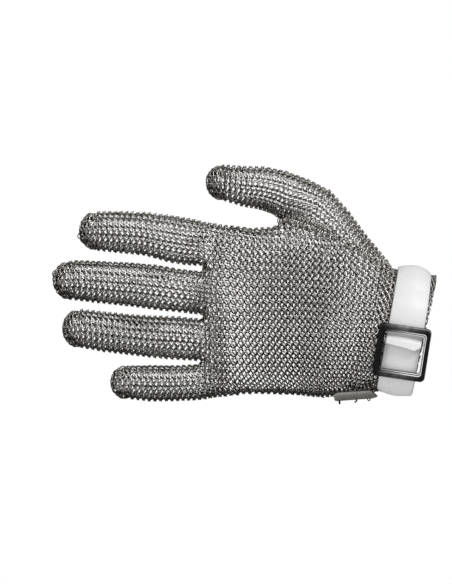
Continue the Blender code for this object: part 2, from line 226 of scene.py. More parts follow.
hand_places = np.arange(HAND_LINE[0, 0], HAND_LINE[-1, 0] + 0.1, STATION_STEP)
hand_sleeve = Sleeve([hand_station(min(x, HEM_INSET)) for x in hand_places], hand_places)
# The mail hangs down to the strap along the little-finger edge.
for hand_x, hand_loop in zip(hand_places, hand_sleeve.loops):
    middle_z, lowest_z = hand_loop[:, 2].mean(), hand_loop[:, 2].min()
    below = np.clip((middle_z - hand_loop[:, 2]) / (middle_z - lowest_z), 0, 1)
    hand_loop[:, 2] -= at(hand_x, CUFF_BAG) * MM * below ** 2
# The pitch from row to row: all rows fit where the tube is closed.
fork, cuff = (int(np.searchsorted(hand_places, x)) for x in (THUMB_FORK, CUFF_START))
hand_steps = hand_sleeve.lengths / HAND_ROWS
hand_steps[cuff:] = hand_sleeve.lengths[cuff:] / CUFF_ROWS
hand_steps[fork:cuff] = np.interp(np.arange(fork, cuff), (fork, cuff), hand_steps[[fork, cuff]])


def from_edge(x, row):
    """How far a row lies from the little-finger edge, round the hand."""
    rows = abs(row + ROW_OFFSET) - at(x, ROWS_ENDED)
    over = max(rows - CROWDED_FROM, 0)
    rows -= at(x, ROWS_CROWDED) * over * over / (over + CROWDED_FADE)
    return rows * np.interp(x, hand_places, hand_steps)


def tube_point(x, out):
    """The middle of the wall, out from the little-finger edge, negative on the palm."""
    place = max(x, hand_places[0])
    part = out / hand_sleeve.length(place)
    return hand_sleeve.point(place, part) + ARMWARDS * (x - place) * MM


def hand_point(x, row):
    """The middle of the wall on a row, from 0 up on the back and from -1 down on the palm.

    Rows count from the little-finger edge. Those of the palm lie behind the gaps of the back.
    """
    if row + ROW_OFFSET >= 0:
        return tube_point(x, from_edge(x, row))
    rows = abs(row + ROW_OFFSET)
    own = tube_point(x, -from_edge(x, row))
    behind = smoothstep((rows - 1) / BEHIND_ROWS)
    behind *= smoothstep((0.5 * HAND_ROWS - 1 - rows) / BEHIND_ROWS) * at(x, PALM_BEHIND)
    if behind == 0:
        return own
    shown = hand_point(x + BEHIND_SLIDE * at(x, BAND_PITCH), -1 - row - BEHIND_DROP)
    start = own + (shown - own) * behind
    start[1] = at(x, HAND_LINE) * MM
    deep = wall_distance(start, -BACKWARDS)
    return own if deep is None else start - BACKWARDS * deep


def gathered(surface):
    """The same surface, drawn together where the mail is bunched."""
    def point(x, row):
        spot = surface(x, row) / MM
        pull = 0
        for at_x, at_z, length, height, closer in GATHERS:
            along, across = (x - at_x) / length, (spot[2] - at_z) / height
            pull -= closer * (x - at_x) * np.exp(-0.5 * along * along - 0.5 * across * across)
        return surface(x + pull, row)
    return point


def half_pitches(start, end, pitches):
    """Places half a pitch apart, from start to past end."""
    places = [start]
    while places[-1] > end:
        places.append(places[-1] - 0.5 * at(places[-1], pitches))
    return places


bands = half_pitches(HEM_BAND, BAND_PITCH[0, 0], BAND_PITCH)

# ---- the fingers -----------------------------------------
# Each finger is a narrower tube of the same rings, closed over its tip. The rows on the middle
# of its back and of its palm side are rows of the hand run on; the rest end in the crotches.

FINGER_ROWS = {"mail_index_finger": 28, "mail_middle_finger": 28, "mail_ring_finger": 28,
               "mail_little_finger": 24}
FINGER_ROOT = -118  # from here to the tip the finger is a closed tube
FINGER_INSIDE = -106  # how far into the hand its rows are followed
FINGER_MATCHED = -114  # where its middle row is matched with one of the hand
FINGER_REACH = 12.5 * MM
LINE_STEP = 2  # mm between the points of its middle line
TIP_ROUND = 10.6  # length of the rounded end
TIP_RISES = np.radians(np.arange(6, 85, 6))
TIP_TURNS = np.linspace(0, pi, 37)
FOLLOWED_ROWS = 4  # rows either side of the middle one that run on into the hand
BLEND_START, BLEND_LENGTH = -120, 11
DROP_ROWS = 3.5  # rows from either edge of the palm side in which it begins to hang


def palm_drop(over, rows):
    """How many rows a palm-side row of a tube hangs that is so far over its edge."""
    over %= rows
    return BEHIND_DROP * smoothstep(over / DROP_ROWS) * smoothstep((0.5 * rows - over) / DROP_ROWS)


def centred(origin, way):
    """Move a point to the middle between the walls either way."""
    return origin + 0.5 * way * (wall_distance(origin, way) - wall_distance(origin, -way))


def finger_line(name):
    """The middle line of a finger in mm, root last, and its tip's x."""
    low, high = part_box(name)
    tip = low.x / MM + TIP_ROUND
    start = 0.5 * (tip + FINGER_ROOT)
    line = []
    for places in (np.arange(start, FINGER_ROOT, LINE_STEP),
                   np.arange(start - LINE_STEP, tip, -LINE_STEP)):
        point = np.array((low + high) * 0.5)
        for x in places:
            point = np.array((x * MM, point[1], point[2]))
            point = centred(centred(point, THUMBWARDS), BACKWARDS)
            line.append(point / MM)
    line = np.array(sorted(line, key=lambda p: p[0]))
    slope = (line[-1] - line[-5]) / (line[-1, 0] - line[-5, 0])
    root = line[-1] + slope * (FINGER_INSIDE - line[-1, 0])
    return np.vstack((line, root)), tip


def over_tip(station):
    """A tube's last station with its rays turned further and further over its end."""
    return [(*station[:4], rise, station[5]) for rise in TIP_RISES]


class Cap:
    """The rounded end of a finger or the thumb, which its middle rows run straight over.

    They lie in planes square to across, and go on as rows of the palm side. Places count
    backwards in mm from where the rounding starts at the back.
    """

    def __init__(self, surface, place, middle, across, tipwards, back_row, rows):
        self.surface, self.place, self.middle = surface, place, middle
        self.across, self.tipwards, self.back_row, self.rows = across, tipwards, back_row, rows
        self.pair = 2 * back_row + rows // 2 - 1
        self.run = run_along(np.array([self.reach(turn, 0) for turn in TIP_TURNS])) / MM
        self.length = self.run[-1]

    def reach(self, turn, slope):
        """The middle of the wall, turned round across and sloped towards it."""
        way = (BACKWARDS * cos(turn) + self.tipwards * sin(turn)) * cos(slope)
        way = way + self.across * sin(slope)
        return self.middle + way * wall_distance(self.middle, way)

    def slope(self, row, side):
        """How far a row leans out as the rounding starts, on the back or the palm side."""
        away = self.surface(self.place, row) - self.middle
        return np.arctan2(away @ self.across, side * (away @ BACKWARDS))

    def point(self, place, row):
        if place > 0:
            return self.surface(self.place + place, row)
        if -place > self.length:
            return self.surface(self.place - place - self.length, self.pair - row)
        turn = np.interp(-place, self.run, TIP_TURNS)
        back, front = self.slope(row, 1), self.slope(self.pair - row, -1)
        return self.reach(turn, back + (front - back) * turn / pi)


class Finger:
    """One finger's sleeve, and which rows of the hand its middle rows are."""

    def __init__(self, name):
        self.rows = FINGER_ROWS[name]
        line, self.tip = finger_line(name)
        count = int((FINGER_INSIDE - self.tip) / STATION_STEP)
        places = np.linspace(FINGER_INSIDE, self.tip, count)
        stations = [(np.array((x, at(x, line), at(x, line, 2))) * MM, BACKWARDS, THUMBWARDS,
                     -ARMWARDS, 0, FINGER_REACH) for x in places]
        self.sleeve = Sleeve(stations + over_tip(stations[-1]), places)
        self.cap = Cap(self.point, self.tip, stations[-1][0], THUMBWARDS, -ARMWARDS, 0, self.rows)
        backs = np.arange(2, HAND_ROWS / 2 - 1, 0.25)
        heights = [hand_point(hand_places[0], row)[2] for row in backs]
        self.back_row = int(round(np.interp(at(FINGER_MATCHED, line, 2) * MM, heights, backs)))

    def point(self, x, row):
        """A point on a row, counted from the middle of the finger's back."""
        row += ROW_OFFSET
        row += palm_drop(row - 0.25 * self.rows, self.rows)
        return self.sleeve.point(x, row / self.rows)

    def run_on(self, row, hand_row):
        """The surface of a row that runs on as a row of the hand."""
        def point(x, beside):
            mix = smoothstep((x - BLEND_START) / BLEND_LENGTH)
            finger = self.point(x, row + beside - hand_row)
            return (1 - mix) * finger + mix * hand_point(x, beside)
        return point


def halved(row, rows):
    """A row of a tube, numbered within half its rows either way."""
    return (row + rows // 2) % rows - rows // 2


def followed_rows(name, finger):
    """Which rows of the hand the rows of a finger run on into."""
    near = range(-FOLLOWED_ROWS, FOLLOWED_ROWS + 1)
    backs = [*near, *range(finger.rows // 2)] if name == "mail_index_finger" else near
    pairs = {row: halved(finger.back_row + row, HAND_ROWS) for row in backs}
    for row in near:
        hand_row = halved(row - finger.back_row, HAND_ROWS)
        if hand_row not in pairs.values():
            pairs[halved(finger.rows // 2 + row, finger.rows)] = hand_row
    return pairs


fingers = {name: Finger(name) for name in FINGER_ROWS}
followed = {name: followed_rows(name, finger) for name, finger in fingers.items()}

# ---- the thumb -------------------------------------------
# The thumb is a tube of its own set on askew, whose rows run from its tip over the ball of the
# thumb to the strap. It is joined to the rows of the hand along a seam on the back and the palm.

THUMB_LINE = np.array((
    # x, y, z of the middle of the thumb in mm, and its section's lean in degrees
    (-104, 8, 78.7, 5), (-95, 7.6, 77.2, 4), (-85.5, 7.2, 76.3, 10),
    (-76.5, 6.8, 74, 20), (-68, 6.4, 70, 31), (-59.5, 5.8, 63.9, 41),
    (-52, 5, 54, 47), (-42, 3.8, 41, 50), (-31, 2.5, 27, 49),
    (-20, 1.5, 13.5, 46),
))
THUMB_ROWS = 28
THUMB_FORK_PLACE = 33  # mm along it from where on its tube is open towards the hand
THUMB_OPEN_SHARE = 0.48  # of its length round that has rows either side, from there on
THUMB_ROW_STEPS = np.array((
    # mm along the thumb, and the pitch from row to row
    (33, 2.6), (60, 2.3), (110, 2.15),
))
THUMB_PITCH = np.array((
    # mm along the thumb, and the pitch of the rings along a row
    (-30, 2.85), (18, 2.85), (28, 2.5), (44, 2.45), (56, 2.8), (90, 2.9),
    (110, 2.5),
))
THUMB_REACH = 22 * MM
SEAM = np.array((
    # x and z in mm of the seam between thumb and hand, from the crotch to the strap
    (-140, 61.5), (-78, 61), (-72, 60.3), (-65, 58.5), (-57, 55.5), (-50, 51.8),
    (-43, 47.8), (-30, 40.5), (-18, 34),
))
SEAM_CLEAR = 0.7  # mm that the rings of either side keep off it
STRAP_LEAN = 10.2  # degrees


def evened(line, times=4):
    """A line with its bends softened and its ends kept."""
    for _ in range(times):
        line[1:-1] = 0.25 * line[:-2] + 0.5 * line[1:-1] + 0.25 * line[2:]
    return line


def thumb_station(x, y, z, lean):
    across, armwards = leaning(lean)
    return np.array((x, y, z)) * MM, across, -BACKWARDS, -armwards, 0, THUMB_REACH


thumb_run = run_along(THUMB_LINE[:, :3])
thumb_places = np.arange(0, thumb_run[-1], STATION_STEP)
thumb_line = evened(on_line(thumb_places, thumb_run, THUMB_LINE))
thumb_stations = [thumb_station(*row) for row in thumb_line[::-1]]
thumb = Sleeve(thumb_stations + over_tip(thumb_stations[-1]), thumb_places[::-1])


def thumb_row_step(place):
    if place < THUMB_FORK_PLACE:
        return thumb.length(place) / THUMB_ROWS
    return at(place, THUMB_ROW_STEPS) * MM


def thumb_point(place, row):
    """A point on a row, counted from the thumb's outer side."""
    row += ROW_OFFSET
    if -THUMB_ROWS // 2 < row < THUMB_ROWS // 2 or place < THUMB_FORK_PLACE:
        row += palm_drop(row, THUMB_ROWS)
    return thumb.point(place, row * thumb_row_step(place) / thumb.length(place))


def thumb_rows(place):
    """All rows as far as the fork, and then those that the hand leaves room for."""
    if place < THUMB_FORK_PLACE:
        return range(-THUMB_ROWS // 2, THUMB_ROWS // 2)
    half = int(THUMB_OPEN_SHARE * thumb.length(place) / thumb_row_step(place))
    return range(-half, half + 1)


thumb_tip, thumb_across, _, thumb_tipwards = thumb_stations[-1][:4]
thumb_cap = Cap(thumb_point, 0, thumb_tip, thumb_across, thumb_tipwards, -THUMB_ROWS // 4,
                THUMB_ROWS)


def over_seam(point):
    """How far above the seam a point is, in mm."""
    return point[2] / MM - at(point[0] / MM, SEAM)


def hand_place(point):
    """The hand station, in mm, that a point is on."""
    return (point[0] - point[2] * tan(radians(STRAP_LEAN))) / MM


# ---- the rings -------------------------------------------
# Every ring is a hoop of 0.57 mm stainless wire, welded shut and tumbled smooth. The rings of
# one row tilt forwards and those of the next row back, so that each passes through four others.

RING_RADIUS, WIRE_RADIUS = 1.75 * MM, 0.285 * MM
RING_STEPS, WIRE_STEPS = 14, 4  # round the hoop and round its wire
NEAR_PLACE, NEAR_ROW = 0.4, 0.25  # mm and rows either side in which a surface is felt out
EVEN_PITCH, EVEN_ROW_STEP = 3, 2.4  # mm along a row and from row to row, where they lie even
TILT = 29  # degrees there
TILT_CROWDED = 13  # more for each mm that the rings of a row are closer
TILT_CLOSE_ROWS = 20  # more for each mm that the rows are closer
TILT_LEAST, TILT_MOST = 20, 52
ROWS_LEAN = 3  # degrees that every second row lies flatter, and the rest steeper
GAP_CLEAR = 0.2 * MM  # how far from the wall a ring may lie in a gap between CAD pieces
SIDES_FROM = -110  # x in mm where the rows that end in the crotches are looked for
CAP_SHARE = 0.175  # of a finger's rows, run over its tip either side of the back's middle
TIP_SIDES = 0.4  # of a tip's length, as far as the other rows reach over it
HEM_LINES = (-1.6, -3, -4.4)  # x in mm of the rings of the hem, pushed up on edge
HEM_APART, HEM_TILT = 0.31, 90  # mm that its rings lie off their line in turn, and degrees
CLOSEST, CLOSEST_TIP = 1.6, 1.9  # mm between rings of two tubes that meet, and of a tip
MORE_ROWS = 8  # rows of the hand that only start at its thumb side
SEAM_STEP = 0.25  # mm between the points of the seam's line
SEAM_DEEP = 3  # mm, the y that the seam is looked for from
SEAM_ACROSS = np.array((0.35, 0, 0.65))  # a row's way over the seam, in mm
SEAM_PITCH, SEAM_TILT = 2.1, 38  # mm between every second ring along it, and degrees
LADDER_ROWS = (-1.5 / 0.74, 1.2 / 0.74)  # beside the seam, of crowded rings at the crotch
LADDER_START, LADDER_END = 1, 26  # mm along the seam
LADDER_PITCH, LADDER_TILT = 1.25, 68  # mm and degrees


def unit(vector):
    return vector / norm(vector)


class Ring:
    """One ring of a surface, at a place along the rows in mm and a row number.

    It tilts by tilt, or by how close the rings lie where their pitch along the row is given.
    """

    def __init__(self, surface, place, row, tilt=0, forwards=1, pitch=None):
        near, far = surface(place - NEAR_PLACE, row), surface(place + NEAR_PLACE, row)
        below, above = surface(place, row - NEAR_ROW), surface(place, row + NEAR_ROW)
        self.at = surface(place, row)
        self.along = unit(far - near)
        self.out = unit(np.cross(self.along, above - below))
        if pitch:
            crowding = EVEN_PITCH - pitch * norm(far - near) / (2 * NEAR_PLACE * MM)
            closeness = EVEN_ROW_STEP - norm(above - below) / (2 * NEAR_ROW * MM)
            tilt = TILT + TILT_CROWDED * max(crowding, 0) + TILT_CLOSE_ROWS * closeness
            tilt = min(max(tilt, TILT_LEAST), TILT_MOST) * forwards - ROWS_LEAN
        self.tilt = radians(tilt)


def in_wall(point):
    """Whether a point is inside the wall of the CAD mail, or in a gap between two pieces."""
    near, normal, _, _ = wall.find_nearest(Vector(point))
    away = Vector(point) - near
    return away.dot(normal) < 0 or away.length < GAP_CLEAR


rings = {}


def add(piece, ring, others=None):
    """Keep a ring in a piece, unless it would lie in one of the others."""
    distance = others.find(ring.at)[2] if others else None
    if distance is None or distance >= CLOSEST * MM:
        rings.setdefault(piece, []).append(ring)


def places_taken(pieces):
    spots = [ring.at for piece in pieces for ring in rings[piece]]
    tree = KDTree(len(spots))
    for i, spot in enumerate(spots):
        tree.insert(spot, i)
    tree.balance()
    return tree


def woven(places, rows, first=0, start=0):
    """Every second place of each row, as place, row and which way its ring tilts.

    rows may depend on the place. first and start number row 0 and the first place, where the
    weave is another one's run on.
    """
    for band, place in enumerate(places, start):
        for row in rows(place) if callable(rows) else rows:
            if (band + first + row) % 2 == 0:
                yield place, row, 1 if band % 2 else -1


def lay_hand():
    """The rows of the hand, run on along the fingers where they follow them."""
    in_hand = gathered(hand_point)
    along_finger = {hand_row: (name, gathered(fingers[name].run_on(row, hand_row)))
                    for name, pairs in followed.items() for row, hand_row in pairs.items()}
    rows = range(-HAND_ROWS // 2 - MORE_ROWS, HAND_ROWS // 2 + MORE_ROWS)
    for x, row, forwards in woven(bands, rows):
        half_round = 0.5 * hand_sleeve.length(x)
        if not EDGE_CLEAR < from_edge(x, row) < half_round - EDGE_CLEAR:
            continue
        name, surface = along_finger.get(row, (None, in_hand))
        if x > BLEND_START + BLEND_LENGTH:
            name, surface = None, in_hand
        if name and x < fingers[name].tip:
            continue
        ring = Ring(surface, x, row, 0, forwards, at(x, BAND_PITCH))
        at_thumb = THUMB_FORK < x < CUFF_START and over_seam(ring.at) > -SEAM_CLEAR
        past_knuckles = x <= BLEND_START + BLEND_LENGTH
        if at_thumb or (past_knuckles and not name and not in_wall(ring.at)):
            continue
        side = "back" if row >= 0 else "palm"
        add(name if name and x < FINGER_ROOT else side, ring)


def lay_hem():
    """The rings of the hem, which stand side by side on edge all round."""
    for x in HEM_LINES:
        for row in range(-CUFF_ROWS // 2, CUFF_ROWS // 2):
            ring = Ring(hand_point, x + (HEM_APART if row % 2 else -HEM_APART), row, HEM_TILT)
            axis = hand_station(x)[3]
            ring.along = unit(axis - ring.out * (axis @ ring.out))
            add("hem", ring)


def lay_fingers(taken):
    """The rows of the fingers that end at the crotches, and the rounded tips."""
    for name, finger in fingers.items():
        surface = gathered(finger.point)
        rows = [row for row in range(-finger.rows // 2, finger.rows // 2)
                if row not in followed[name]]
        for x, row, forwards in woven(bands, rows, finger.back_row):
            if finger.tip <= x < SIDES_FROM:
                ring = Ring(surface, x, row, 0, forwards, at(x, BAND_PITCH))
                if x < FINGER_ROOT or in_wall(ring.at):
                    add(name, ring, taken)
        lay_tip(name, finger.cap, bands, finger.back_row)


def lay_tip(name, cap, places, first):
    """A rounded end: the middle rows run over it, and the rest end beside them."""
    start = next(i for i, place in enumerate(places) if place < cap.place)
    pitch = places[start - 1] - places[start]
    before = cap.place - places[start]
    span = cap.length - 2 * before
    steps = int(round(span / pitch))
    steps += 1 - steps % 2
    half = int(round(CAP_SHARE * cap.rows))
    over = range(cap.back_row - half, cap.back_row + half)
    crossing = [-before - k * (span / steps) for k in range(steps + 1)]
    for place, row, forwards in woven(crossing, over, first, start):
        add(name, Ring(cap.point, place, row, 0, forwards, 2 * span / steps))
    run_over = {way % cap.rows for row in over for way in (row, cap.pair - row)}
    beside = [row for row in range(cap.rows) if row not in run_over]
    end = cap.place - TIP_SIDES * cap.length
    sides = [place for place in places[start:] if place >= end]
    for place, row, forwards in woven(sides, beside, first, start):
        ring = Ring(cap.surface, place, row, 0, forwards, 2 * pitch)
        if min(norm(ring.at - other.at) for other in rings[name]) > CLOSEST_TIP * MM:
            add(name, ring)


def lay_thumb():
    """The rows of the thumb, over its ball and on to the strap."""
    places = half_pitches(thumb.places[-1], thumb.places[0], THUMB_PITCH)
    closed = [place for place in places if place >= 0]
    for place, row, forwards in woven(closed, thumb_rows):
        ring = Ring(thumb_point, place, row, 0, forwards, at(place, THUMB_PITCH))
        if over_seam(ring.at) >= SEAM_CLEAR and hand_place(ring.at) <= CUFF_START:
            add("mail_thumb", ring)
    lay_tip("mail_thumb", thumb_cap, places, 0)


def lay_seam(taken):
    """The rings that join the thumb to the hand, crowded on edge next to the crotch."""
    for way in (BACKWARDS, -BACKWARDS):
        spots = []
        for x in np.arange(SEAM[1, 0] + 1, SEAM[-1, 0], SEAM_STEP):
            start = np.array((x, SEAM_DEEP, at(x, SEAM))) * MM
            out = wall_distance(start, way)
            if out is not None:
                spots.append(start + way * out)
        spots = np.array(spots)
        run = run_along(spots)
        over = SEAM_ACROSS * -way[1]

        def seam_point(place, beside):
            return on_line(place * MM, run, spots) + over * beside * MM

        for beside in LADDER_ROWS:
            for place in np.arange(LADDER_START, LADDER_END, LADDER_PITCH):
                add("mail_thumb", Ring(seam_point, place, beside * -way[1], LADDER_TILT))
        for i, place in enumerate(np.arange(LADDER_END, run[-1] / MM, 0.5 * SEAM_PITCH)):
            ring = Ring(seam_point, place, 0, SEAM_TILT if i % 2 else -SEAM_TILT)
            add("mail_thumb", ring, taken)


lay_hand()
lay_hem()
lay_fingers(places_taken(["back", "palm", *fingers]))
lay_thumb()
lay_seam(places_taken(["back", "palm", "mail_thumb"]))


class Value:
    """One output in a node tree. Sums and products of values add Math nodes."""

    def __init__(self, tree, socket):
        self.tree, self.socket = tree, socket

    def maths(self, operation, *others):
        return output(self.tree, "ShaderNodeMath", {"operation": operation},
                      **{f"_{i}": value for i, value in enumerate((self, *others))})

    def __rsub__(self, other):
        return self * -1 + other

    def clamped(self):
        return self.maths("MINIMUM", 1).maths("MAXIMUM", 0)

    __add__ = __radd__ = partialmethod(maths, "ADD")
    __sub__ = partialmethod(maths, "SUBTRACT")
    __mul__ = __rmul__ = partialmethod(maths, "MULTIPLY")
    __truediv__ = partialmethod(maths, "DIVIDE")
    __pow__ = partialmethod(maths, "POWER")
    size = partialmethod(maths, "ABSOLUTE")


def fill(tree, made, **inputs):
    """Give sockets of a node their values or links.

    In a socket's name _ stands for a space, and before a number it says which socket.
    """
    for key, value in inputs.items():
        socket = made.inputs[int(key[1:]) if key[1:].isdigit() else key.replace("_", " ")]
        if isinstance(value, Value):
            tree.links.new(value.socket, socket)
        else:
            socket.default_value = value
    return made


def node(tree, kind, settings=(), **inputs):
    """A node with its settings, and values or links for its sockets."""
    made = tree.nodes.new(kind)
    for key, value in dict(settings).items():
        if key == "stops":
            for stop, (place, colour) in zip(made.color_ramp.elements, value):
                stop.position, stop.color = place, (*colour, 1)
        else:
            setattr(made, key, value)
    return fill(tree, made, **inputs)


def output(tree, kind, settings=(), socket=0, **inputs):
    return Value(tree, node(tree, kind, settings, **inputs).outputs[socket])


def own_place(tree):
    """Object coordinates."""
    return output(tree, "ShaderNodeTexCoord", socket="Object")


def noted(tree, name):
    """A number that the mesh carries for every point."""
    return output(tree, "ShaderNodeAttribute", {"attribute_name": name}, "Fac")


def noise(tree, where, scale, detail, roughness=0.5):
    return output(tree, "ShaderNodeTexNoise", Vector=where, Scale=scale, Detail=detail,
                  Roughness=roughness)


def mixed(tree, factor, a, b):
    """Colour a where factor is 0 and colour b where it is 1."""
    a, b = [colour if isinstance(colour, Value) else (*colour, 1) for colour in (a, b)]
    return output(tree, "ShaderNodeMix", {"data_type": "RGBA"}, 2, _0=factor, _6=a, _7=b)


def finish_of(name, **constants):
    """A Principled material, its tree and its shader node."""
    made = bpy.data.materials.new(name)
    made.use_nodes = True
    tree = made.node_tree
    return made, tree, fill(tree, tree.nodes["Principled BSDF"], **constants)


RING_BRIGHT = (0.84, 0.805, 0.765)
RING_DULL = (0.56, 0.53, 0.495)
# Painted shade: the colour of the wire's faces that turn into the glove.
RING_INSIDE_SHADE = (0.05, 0.047, 0.044)
RING_TURN = radians(5)  # how far a ring may be turned out of its place, either way


def ring_finish():
    made, tree, shader = finish_of("wire_steel", Metallic=1)
    place = own_place(tree)
    grime, rub = noise(tree, place, 60, 3), noise(tree, place, 1500, 2)
    dull = (noted(tree, "tone") * 0.5 + grime * 0.5).clamped()
    colour = output(tree, "ShaderNodeValToRGB",
                    {"stops": [(0.25, RING_DULL), (0.6, RING_BRIGHT)]}, Fac=1 - dull)
    # Painted shade: faces that turn into the glove are painted near black. The outward faces are
    # also made smoother.
    painted_light_and_polish = (noted(tree, "outside") * 1.6 + 0.15).clamped()
    fill(tree, shader, Base_Color=mixed(tree, painted_light_and_polish, RING_INSIDE_SHADE, colour),
         Roughness=0.44 - painted_light_and_polish * 0.22 + rub * 0.14 + dull * 0.08)
    return made


def ring_tree():
    """Geometry Nodes that hang one hoop on every point, turned as the point's values say."""
    tree = bpy.data.node_groups.new("ring_mail", "GeometryNodeTree")
    sockets = {"Points": "Geometry", "Ring Radius": "Float", "Wire Radius": "Float",
               "Ring Steps": "Int", "Wire Steps": "Int", "Uneven Turn": "Float", "Seed": "Int",
               "Finish": "Material"}
    for name, kind in sockets.items():
        tree.interface.new_socket(name, in_out="INPUT", socket_type="NodeSocket" + kind)
    tree.interface.new_socket("Mail", in_out="OUTPUT", socket_type="NodeSocketGeometry")
    inlet = node(tree, "NodeGroupInput")
    given = {name: Value(tree, inlet.outputs[name]) for name in sockets}
    number, vector = {"data_type": "FLOAT"}, {"data_type": "FLOAT_VECTOR"}
    made = partial(output, tree)

    def circle(name):
        return made("GeometryNodeCurvePrimitiveCircle", Resolution=given[name + " Steps"],
                    Radius=given[name + " Radius"])

    def stored(name):
        return made("GeometryNodeInputNamedAttribute", vector, Name=name)

    def store(mail, name, domain, value):
        return made("GeometryNodeStoreNamedAttribute", {**number, "domain": domain},
                    Geometry=mail, Name=name, Value=value)

    hoop = made("GeometryNodeCurveToMesh", Curve=circle("Ring"), Profile_Curve=circle("Wire"))
    hang = made("FunctionNodeAxesToRotation", {"primary_axis": "Z", "secondary_axis": "Y"},
                Primary_Axis=stored("facing"), Secondary_Axis=stored("beside"))
    most = made("ShaderNodeCombineXYZ", **dict.fromkeys("XYZ", given["Uneven Turn"]))
    least = made("ShaderNodeVectorMath", {"operation": "SCALE"}, Vector=most, Scale=-1)
    loose = made("FunctionNodeRandomValue", vector, Min=least, Max=most, Seed=given["Seed"])
    turned = made("FunctionNodeRotateRotation", {"rotation_space": "LOCAL"}, Rotation=hang,
                  Rotate_By=loose)
    hoops = made("GeometryNodeInstanceOnPoints", Points=given["Points"], Instance=hoop,
                 Rotation=turned)
    tone = made("FunctionNodeRandomValue", number, 1, Seed=given["Seed"])
    real = made("GeometryNodeRealizeInstances", Geometry=store(hoops, "tone", "INSTANCE", tone))
    faces_out = made("ShaderNodeVectorMath", {"operation": "DOT_PRODUCT"}, "Value",
                     _0=made("GeometryNodeInputNormal"), _1=stored("out"))
    smooth = made("GeometryNodeSetShadeSmooth", Geometry=store(real, "outside", "POINT", faces_out))
    done = made("GeometryNodeSetMaterial", Geometry=smooth, Material=given["Finish"])
    node(tree, "NodeGroupOutput", Mail=done)
    return tree


def in_scene(name, data):
    made = bpy.data.objects.new(name, data)
    bpy.context.collection.objects.link(made)
    return made


def mesh_from(name, points, faces=()):
    mesh = bpy.data.meshes.new(name)
    mesh.from_pydata([tuple(p) for p in points], [], faces)
    return in_scene(name, mesh)


def note(thing, **notes):
    """Store a number or vector for every point of a mesh, or one number for all."""
    for name, values in notes.items():
        values = np.array(values, np.float32)
        kind, key = ("FLOAT_VECTOR", "vector") if values.ndim > 1 else ("FLOAT", "value")
        if not values.ndim:
            values = np.full(len(thing.data.vertices), values)
        thing.data.attributes.new(name, kind, "POINT").data.foreach_set(key, values.ravel())
    return thing


def ring_piece(name, laid, tree, seed, finish):
    """One hoop for every ring, made a plain mesh."""
    thing = note(mesh_from(name, [ring.at for ring in laid]), out=[ring.out for ring in laid],
                 facing=[ring.out * cos(ring.tilt) + ring.along * sin(ring.tilt) for ring in laid],
                 beside=[np.cross(ring.out, ring.along) for ring in laid])
    knit = thing.modifiers.new("knit", "NODES")
    knit.node_group = tree
    sizes = {"Ring Radius": RING_RADIUS, "Wire Radius": WIRE_RADIUS, "Ring Steps": RING_STEPS,
             "Wire Steps": WIRE_STEPS, "Uneven Turn": RING_TURN, "Seed": seed, "Finish": finish}
    for item in tree.interface.items_tree:
        if item.name in sizes:
            knit[item.identifier] = sizes[item.name]
    graph = bpy.context.evaluated_depsgraph_get()
    mesh = bpy.data.meshes.new_from_object(thing.evaluated_get(graph), depsgraph=graph)
    thing.modifiers.clear()
    thing.data = mesh
    return thing


mail_tree, mail_finish = ring_tree(), ring_finish()
for ring_seed, (mail_part, laid) in enumerate(rings.items()):
    in_hand = mail_part in ("back", "palm", "hem")
    mail_name = "rings_" + mail_part if in_hand else mail_part.replace("mail", "rings")
    piece = ring_piece(mail_name, laid, mail_tree, ring_seed, mail_finish)
    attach(piece, "root")
    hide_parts("mail_hand" if in_hand else mail_part)

# ---- the wrist strap -------------------------------------
# One band of smooth white plastic, cut from sheet and crowned, wound once round the wrist over
# the hem of the mail. Its free end comes up through the buckle and lies over its other end.

STRAP_CENTRE = np.array((-11.1, 0, 1.6))
STRAP_HALF_WIDTH = 9.4
STRAP_EDGE = 1.5  # thickness along its edges
STRAP_MIDDLE = 1.9  # and along its middle
STRAP_CROWN = 1.2  # how much its middle stands up
STRAP_CROWN_THUMB = 0.5  # and how much more where it turns over the thumb side
STRAP_ARM_DRAW = 0.9  # how much its arm-side edge is drawn in there
STRAP_NARROWS = 0.13  # and how much narrower that half is bent there
STRAP_WIDE, STRAP_DEEP = 31, 21.8  # half sizes of the loop's inner face
STRAP_SQUARENESS = 2.65
STRAP_STEPS = 260
STRAP_STEP_GROWTH = 1.5  # its steps are shortest at its free end
STRAP_SIDES = np.linspace(-0.965, 0.965, 13)  # across half its width
STRAP_RIM = ((0.99, 0.04), (1, 0.18), (1, 0.42), (0.992, 0.66))  # side, share of its edge
FREE_END = -96.9  # where the strap starts, in degrees; -90 is the back of the wrist
OVERLAP = 21  # degrees of turn in which the start lies over the end
SETTLE_START, SETTLE = 22, 25  # where the start comes down onto the mail, and in how far
END_RISE = 3.2  # how far the free end rises onto the buckle's middle bar
END_FLAT_TURN, END_RISE_TURN = 1.7, 3.8
LAYER_GAP = 0.35
END_POINT = np.array((
    # across half its width, and how many degrees the free end's cut runs on past a square end
    (-1, 1.4), (-0.6, 2), (0.1, 2.4), (0.45, 3.2), (0.62, 3.8), (0.8, 2.4), (1, 0.4),
))
END_POINT_TURN = 7  # degrees in which the end's cut fades out
SHARP = radians(38)


def strap_point(angle, out):
    """Where the strap's loop is, across and deep in mm, out from its inner face."""
    power = 2 / STRAP_SQUARENESS
    c, s = cos(angle), sin(angle)
    spot = np.array((STRAP_WIDE * np.sign(c) * abs(c) ** power,
                     STRAP_DEEP * np.sign(s) * abs(s) ** power))
    normal = np.array((np.sign(c) * abs(c) ** (2 - power) * STRAP_DEEP,
                       np.sign(s) * abs(s) ** (2 - power) * STRAP_WIDE))
    return spot + unit(normal) * out


def strap_lift(turned):
    """How far its inner face stands off the mail, so many degrees from its free end."""
    layer = STRAP_MIDDLE + LAYER_GAP
    return (layer * (1 - smoothstep((turned - SETTLE_START) / SETTLE))
            + END_RISE * (1 - smoothstep((turned - END_FLAT_TURN) / END_RISE_TURN)))


